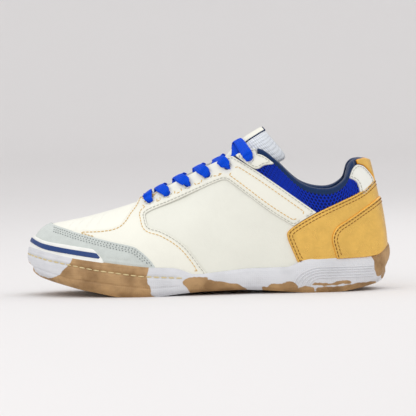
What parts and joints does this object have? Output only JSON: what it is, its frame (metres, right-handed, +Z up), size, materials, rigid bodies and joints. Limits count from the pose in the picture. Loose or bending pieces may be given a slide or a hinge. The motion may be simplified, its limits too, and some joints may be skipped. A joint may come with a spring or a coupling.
{
  "type": "court shoe",
  "caption": "Low lace-up indoor court shoe for the left foot: cream leather upper, suede toe guard, gold heel counter, padded collar and a stitched rubber cupsole.",
  "frame": {"origin": "middle of the shoe's box on the ground", "axes": "+Z up, +X from toe to heel along the shoe, -Y towards the outer (lateral) side"},
  "size_m": [0.299, 0.1038, 0.1348],
  "materials": {
    "marbled_rubber": "moulded gum rubber with marbled white areas, satin",
    "midsole_foam": "open white foam",
    "shank_steel": "pressed strip",
    "fibre_board": "pressed fibre board, matt",
    "navy_textile": "knitted lining, matt",
    "cream_thread": "twisted sewing thread",
    "cream_leather": "smooth leather, satin",
    "cream_panel": "smooth leather, satin",
    "white_leather": "smooth leather, satin",
    "pale_suede": "brushed suede, matt",
    "foxing_rubber": "smooth rubber strip",
    "navy_stripe": "thin moulded stripe",
    "gold_leather": "metallic coated leather, soft gloss",
    "blue_mesh": "open three-layer mesh knit",
    "pale_textile": "fine dot knit lining",
    "blue_lace": "flat woven lace",
    "aglet_plastic": "clear film over the lace end"
  },
  "bodies": {
    "shoe": {"cupsole": "marbled_rubber", "midsole": "midsole_foam", "shank": "shank_steel", "insole_board": "fibre_board", "sidewall_thread": "cream_thread", "vamp": "cream_leather", "vamp_lining": "pale_textile", "toe_puff": "fibre_board", "toe_guard": "pale_suede", "toe_foxing": "foxing_rubber", "toe_stripe": "navy_stripe", "heel_counter": "fibre_board", "counter_cover": "gold_leather", "heel_top_tab": "gold_leather", "collar_foam": "midsole_foam", "collar_lining": "navy_textile", "collar_binding": "navy_textile", "lace": "blue_lace", "side_panel_lateral": "cream_panel", "quarter_overlay_lateral": "cream_leather", "quarter_lining_lateral": "pale_textile", "eyestay_backer_lateral": "fibre_board", "eyelet_tab_lateral": "cream_leather", "collar_mesh_lateral": "blue_mesh", "gold_strap_lateral": "gold_leather", "heel_tab_lateral": "white_leather", "aglet_lateral": "aglet_plastic", "side_panel_medial": "cream_panel", "quarter_overlay_medial": "cream_leather", "quarter_lining_medial": "pale_textile", "eyestay_backer_medial": "fibre_board", "eyelet_tab_medial": "cream_leather", "collar_mesh_medial": "blue_mesh", "gold_strap_medial": "gold_leather", "heel_tab_medial": "white_leather", "aglet_medial": "aglet_plastic"},
    "tongue": {"tongue_cover": "cream_leather", "tongue_foam": "midsole_foam", "tongue_lining": "pale_textile"},
    "insole": {"sockliner": "navy_textile"}
  },
  "joints": [
    {"name": "tongue_fold", "type": "hinge", "parent": "shoe", "child": "tongue", "pos_m": [-0.0565, 0.002, 0.0655], "axis": [0, 1, 0], "range_deg": [0, 12], "stiffness_Nm_per_rad": 0.6},
    {"name": "sockliner_lift", "type": "hinge", "parent": "shoe", "child": "insole", "pos_m": [-0.136, 0.006, 0.03], "axis": [0, -1, 0], "range_deg": [0, 3]}
  ]
}
